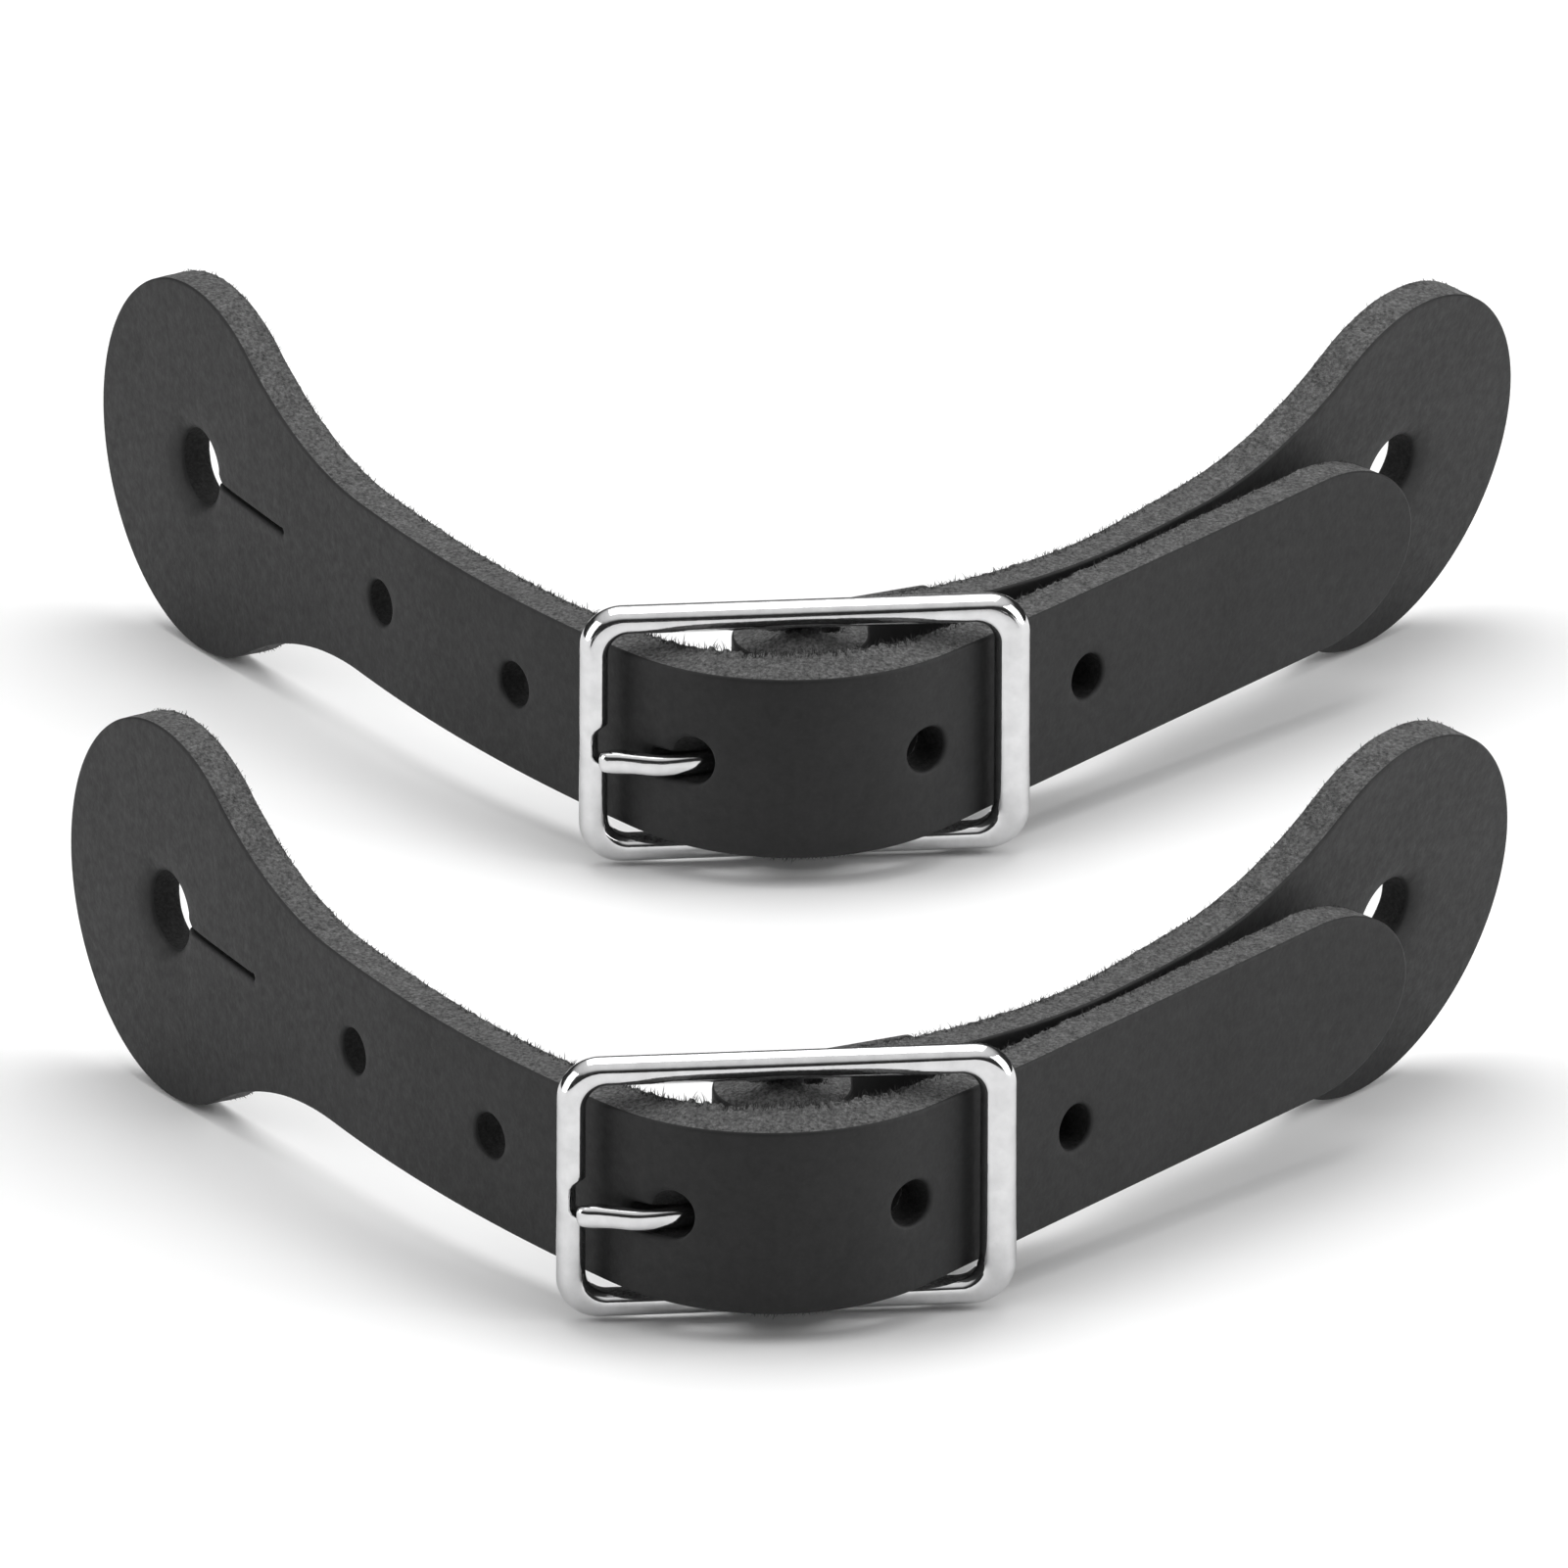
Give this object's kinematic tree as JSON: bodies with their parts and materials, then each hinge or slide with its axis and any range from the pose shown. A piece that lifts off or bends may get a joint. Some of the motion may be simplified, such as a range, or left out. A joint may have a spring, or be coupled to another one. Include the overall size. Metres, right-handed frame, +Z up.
{
  "type": "pair of spur straps",
  "caption": "Pair of buckled leather spur straps: each has round flared ends with spur button holes, a rectangular centre-bar buckle, a tongue and a punched billet.",
  "frame": {"origin": "on the floor under the middle of the pair's box", "axes": "+X to the right, towards the short straps' flared ends; +Y back, from the front strap to the rear strap; +Z up"},
  "size_m": [0.1513, 0.2469, 0.0411],
  "materials": {
    "leather": "matte",
    "bright_metal": "polished",
    "plain_metal": "satin"
  },
  "bodies": {
    "rear_short": {"rear_short_strap": "leather", "rear_rivet_post": "plain_metal", "rear_rivet_cap": "plain_metal"},
    "rear_buckle": {"rear_buckle_frame": "bright_metal", "rear_centre_bar": "plain_metal", "rear_long_strap": "leather"},
    "rear_tongue_piece": {"rear_tongue": "bright_metal"},
    "front_short": {"front_short_strap": "leather", "front_rivet_post": "plain_metal", "front_rivet_cap": "plain_metal"},
    "front_buckle": {"front_buckle_frame": "bright_metal", "front_centre_bar": "plain_metal", "front_long_strap": "leather"},
    "front_tongue_piece": {"front_tongue": "bright_metal"}
  },
  "joints": [
    {"name": "rear_buckle_swing", "type": "hinge", "parent": "rear_short", "child": "rear_buckle", "pos_m": [0.00031, 0.0379, 0.01431], "axis": [-0.0035, 0.0906, -0.9959], "range_deg": [0, 14]},
    {"name": "rear_tongue_lift", "type": "hinge", "parent": "rear_buckle", "child": "rear_tongue_piece", "pos_m": [0.00031, 0.0379, 0.01431], "axis": [0.0035, -0.0906, 0.9959], "range_deg": [0, 8]},
    {"name": "front_buckle_swing", "type": "hinge", "parent": "front_short", "child": "front_buckle", "pos_m": [-0.00159, -0.1091, 0.01431], "axis": [-0.0035, 0.0906, -0.9959], "range_deg": [0, 14]},
    {"name": "front_tongue_lift", "type": "hinge", "parent": "front_buckle", "child": "front_tongue_piece", "pos_m": [-0.00159, -0.1091, 0.01431], "axis": [0.0035, -0.0906, 0.9959], "range_deg": [0, 8]},
    {"name": "front_strap_lift", "type": "slide", "parent": "rear_short", "child": "front_short", "axis": [0, 0, 1], "range_m": [0, 0.08]}
  ]
}
